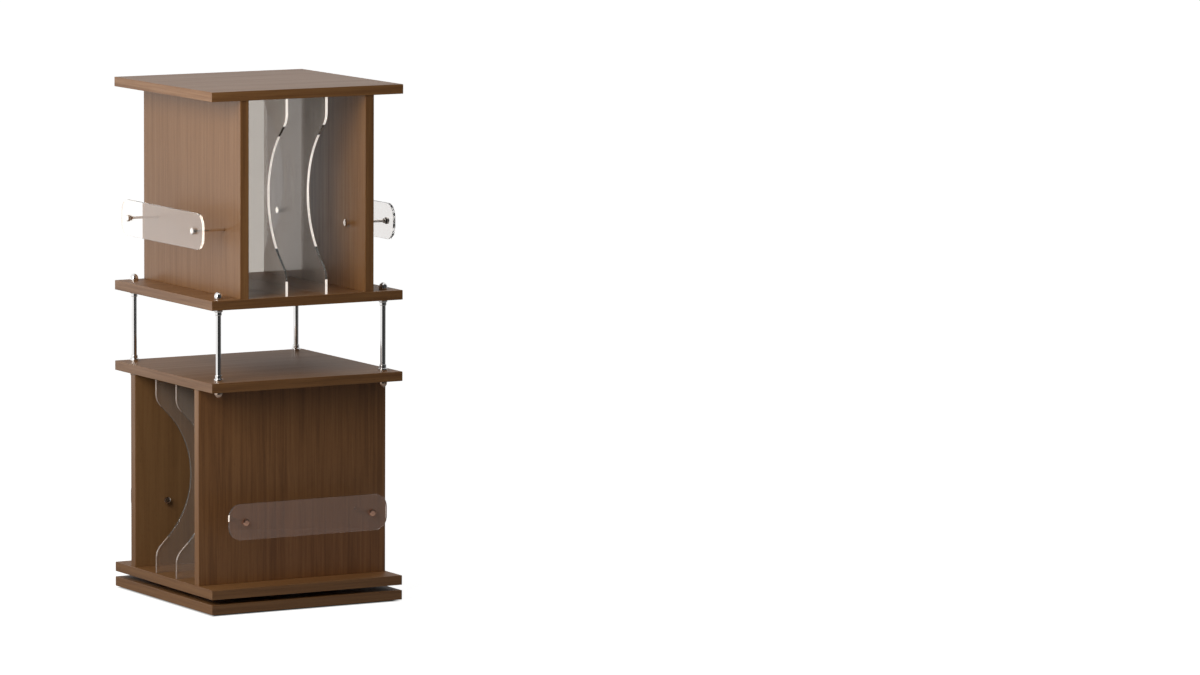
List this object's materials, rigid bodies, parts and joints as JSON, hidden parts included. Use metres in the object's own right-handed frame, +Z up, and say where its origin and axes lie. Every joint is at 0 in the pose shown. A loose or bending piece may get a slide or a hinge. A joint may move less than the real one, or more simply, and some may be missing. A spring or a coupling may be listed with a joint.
{
  "type": "rotating media tower",
  "caption": "Square record tower of two open board tiers, the upper turned a quarter over the lower, joined by chrome rods, with clear dividers and rails, turning on a base board.",
  "frame": {"origin": "on the floor, under the middle of the base board", "axes": "+Z up along the turning axis; +Y towards the back, the way the upper tier's dividers run; +X to the right, the way the lower tier's dividers run"},
  "size_m": [0.417, 0.417, 0.972],
  "materials": {
    "walnut": "satin dark walnut veneer with fine grain",
    "clear_acrylic": "clear, polished edges",
    "chrome": "polished",
    "aluminium": "plain",
    "nylon": "natural white",
    "foot_rubber": "matt black"
  },
  "bodies": {
    "base": {"base_board": "walnut", "bearing_lower_race": "aluminium", "foot_front_left": "foot_rubber", "foot_front_right": "foot_rubber", "foot_back_left": "foot_rubber", "foot_back_right": "foot_rubber"},
    "ball_cage": {"bearing_ball_cage": "nylon"},
    "tower": {"bottom_board": "walnut", "middle_board": "walnut", "shelf_board": "walnut", "top_board": "walnut", "upper_left_panel": "walnut", "upper_left_divider": "clear_acrylic", "upper_left_rail": "clear_acrylic", "upper_left_rail_pin_front": "chrome", "upper_left_rail_cap_front": "chrome", "upper_left_rail_pin_back": "chrome", "upper_left_rail_cap_back": "chrome", "upper_right_panel": "walnut", "upper_right_divider": "clear_acrylic", "upper_right_rail": "clear_acrylic", "upper_right_rail_pin_front": "chrome", "upper_right_rail_cap_front": "chrome", "upper_right_rail_pin_back": "chrome", "upper_right_rail_cap_back": "chrome", "lower_front_panel": "walnut", "lower_front_divider": "clear_acrylic", "lower_front_rail": "clear_acrylic", "lower_front_rail_pin_right": "chrome", "lower_front_rail_cap_right": "chrome", "lower_front_rail_pin_left": "chrome", "lower_front_rail_cap_left": "chrome", "lower_back_panel": "walnut", "lower_back_divider": "clear_acrylic", "lower_back_rail": "clear_acrylic", "lower_back_rail_pin_right": "chrome", "lower_back_rail_cap_right": "chrome", "lower_back_rail_pin_left": "chrome", "lower_back_rail_cap_left": "chrome", "rod_front_left": "chrome", "rod_cap_top_front_left": "chrome", "rod_cap_bottom_front_left": "chrome", "rod_collar_top_front_left": "chrome", "rod_collar_bottom_front_left": "chrome", "rod_front_right": "chrome", "rod_cap_top_front_right": "chrome", "rod_cap_bottom_front_right": "chrome", "rod_collar_top_front_right": "chrome", "rod_collar_bottom_front_right": "chrome", "rod_back_left": "chrome", "rod_cap_top_back_left": "chrome", "rod_cap_bottom_back_left": "chrome", "rod_collar_top_back_left": "chrome", "rod_collar_bottom_back_left": "chrome", "rod_back_right": "chrome", "rod_cap_top_back_right": "chrome", "rod_cap_bottom_back_right": "chrome", "rod_collar_top_back_right": "chrome", "rod_collar_bottom_back_right": "chrome", "bearing_upper_race": "aluminium"}
  },
  "joints": [
    {"name": "tower_turn", "type": "hinge", "parent": "base", "child": "tower", "pos_m": [0, 0, 0.026], "axis": [0, 0, 1], "continuous": true},
    {"name": "cage_turn", "type": "hinge", "parent": "base", "child": "ball_cage", "pos_m": [0, 0, 0.026], "axis": [0, 0, 1], "continuous": true}
  ],
  "couplings": [
    {"joint": "cage_turn", "follows": "tower_turn", "ratio": 0.5}
  ]
}
